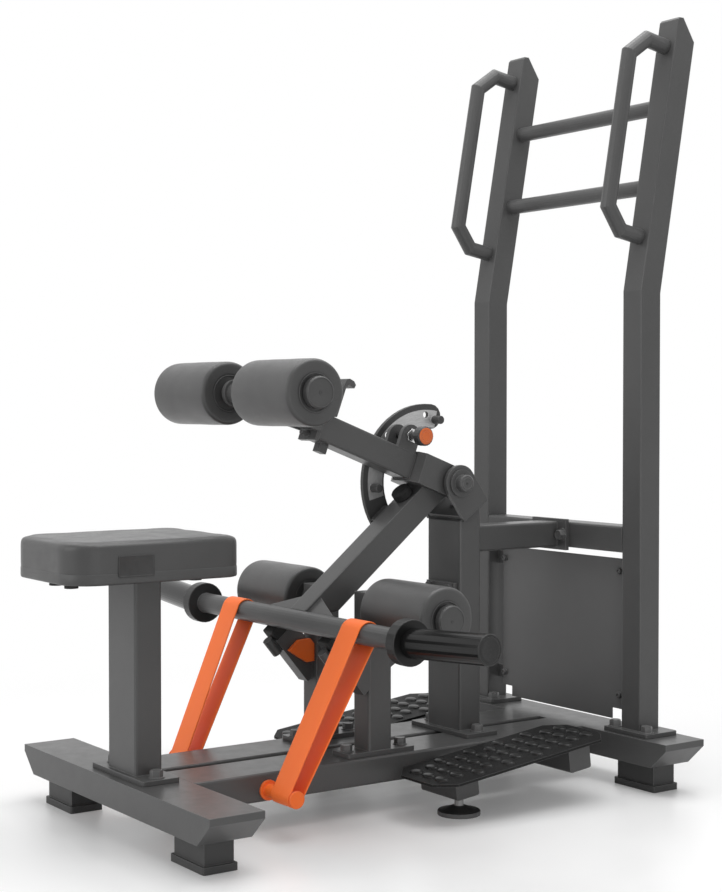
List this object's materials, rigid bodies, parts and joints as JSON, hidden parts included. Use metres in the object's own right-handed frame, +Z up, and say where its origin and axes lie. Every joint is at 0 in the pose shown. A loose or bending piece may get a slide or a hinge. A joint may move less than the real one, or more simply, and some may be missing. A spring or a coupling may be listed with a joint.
{
  "type": "standing hip thrust machine",
  "caption": "Plate-loaded standing hip thrust machine with a seat, hip and knee rollers, a weight lever, tread plates and tall uprights with handles.",
  "frame": {"origin": "middle of the machine's footprint, on the floor", "axes": "+Z up, +X to the right, +Y to the rear, from the seat to the uprights"},
  "size_m": [1.0588, 1.2318, 1.4515],
  "materials": {
    "frame_paint": "satin powder coat",
    "dark_paint": "satin powder coat",
    "seat_vinyl": "satin vinyl",
    "roller_skin": "satin skin on foam",
    "black_rubber": "matte",
    "tread_black": "textured powder coat",
    "orange_paint": "satin powder coat",
    "orange_band": "matte",
    "sleeve_black": "gloss",
    "chrome": "polished",
    "black_plastic": "satin"
  },
  "bodies": {
    "base_frame": {"front_cross_foot": "frame_paint", "rear_cross_foot": "frame_paint", "rail_right": "frame_paint", "rail_left": "frame_paint", "seat_post": "frame_paint", "column": "frame_paint", "pivot_bracket": "frame_paint", "pivot_axle": "frame_paint", "brace": "frame_paint", "rear_bar": "frame_paint", "upright_right": "frame_paint", "upright_left": "frame_paint", "handle_right": "frame_paint", "handle_left": "frame_paint", "lower_crossbar": "frame_paint", "upper_crossbar": "frame_paint", "rear_panel": "frame_paint", "knee_post_right": "frame_paint", "knee_post_left": "frame_paint", "knee_crossmember": "frame_paint", "front_outrigger_right": "frame_paint", "front_outrigger_left": "frame_paint", "rear_outrigger_right": "frame_paint", "rear_outrigger_left": "frame_paint", "front_foot_right": "dark_paint", "front_foot_left": "dark_paint", "rear_foot_right": "dark_paint", "rear_foot_left": "dark_paint", "seat_board": "dark_paint", "knee_axle_right": "dark_paint", "knee_axle_left": "dark_paint", "seat_cushion": "seat_vinyl", "bar_rest_right": "black_rubber", "bar_rest_left": "black_rubber", "tread_plate_right": "tread_black", "tread_plate_left": "tread_black", "bar_guide_right": "orange_paint", "bar_guide_left": "orange_paint", "band_peg_right": "orange_paint", "band_peg_left": "orange_paint", "elastic_band_right": "orange_band", "elastic_band_left": "orange_band"},
    "weight_lever": {"weight_arm": "frame_paint", "weight_bar": "frame_paint", "weight_sleeve_right": "sleeve_black", "weight_sleeve_left": "sleeve_black", "index_quadrant": "dark_paint", "stop_disc": "black_rubber"},
    "hip_pad_arm": {"pad_arm": "frame_paint", "plunger_nut": "chrome", "pad_bracket": "frame_paint", "pad_axle": "dark_paint"},
    "plunger": {"index_plunger": "black_plastic"},
    "hip_roller_right": {"pad_roller_right": "roller_skin"},
    "hip_roller_left": {"pad_roller_left": "roller_skin"},
    "knee_pad_right": {"knee_roller_right": "roller_skin"},
    "knee_pad_left": {"knee_roller_left": "roller_skin"},
    "level_foot_right": {"leveling_foot_right": "dark_paint"},
    "level_foot_left": {"leveling_foot_left": "dark_paint"}
  },
  "joints": [
    {"name": "lever_pivot", "type": "hinge", "parent": "base_frame", "child": "weight_lever", "pos_m": [0, 0.20364, 0.574], "axis": [-1, 0, 0], "range_deg": [0, 38], "deforming": ["elastic_band_right", "elastic_band_left"]},
    {"name": "pad_arm_adjust", "type": "hinge", "parent": "weight_lever", "child": "hip_pad_arm", "pos_m": [0, 0.20364, 0.574], "axis": [-1, 0, 0], "range_deg": [0, 45]},
    {"name": "plunger_slide", "type": "slide", "parent": "hip_pad_arm", "child": "plunger", "axis": [-1, 0, 0], "range_m": [0, 0.012]},
    {"name": "hip_roller_right_spin", "type": "hinge", "parent": "hip_pad_arm", "child": "hip_roller_right", "pos_m": [0, -0.2325, 0.74094], "axis": [-1, 0, 0], "continuous": true},
    {"name": "hip_roller_left_spin", "type": "hinge", "parent": "hip_pad_arm", "child": "hip_roller_left", "pos_m": [0, -0.2325, 0.74094], "axis": [-1, 0, 0], "continuous": true},
    {"name": "knee_roller_right_spin", "type": "hinge", "parent": "base_frame", "child": "knee_pad_right", "pos_m": [0, -0.01586, 0.359], "axis": [-1, 0, 0], "continuous": true},
    {"name": "knee_roller_left_spin", "type": "hinge", "parent": "base_frame", "child": "knee_pad_left", "pos_m": [0, -0.01586, 0.359], "axis": [-1, 0, 0], "continuous": true},
    {"name": "level_foot_right_screw", "type": "slide", "parent": "base_frame", "child": "level_foot_right", "axis": [0, 0, 1], "range_m": [0, 0.012]},
    {"name": "level_foot_left_screw", "type": "slide", "parent": "base_frame", "child": "level_foot_left", "axis": [0, 0, 1], "range_m": [0, 0.012]}
  ]
}
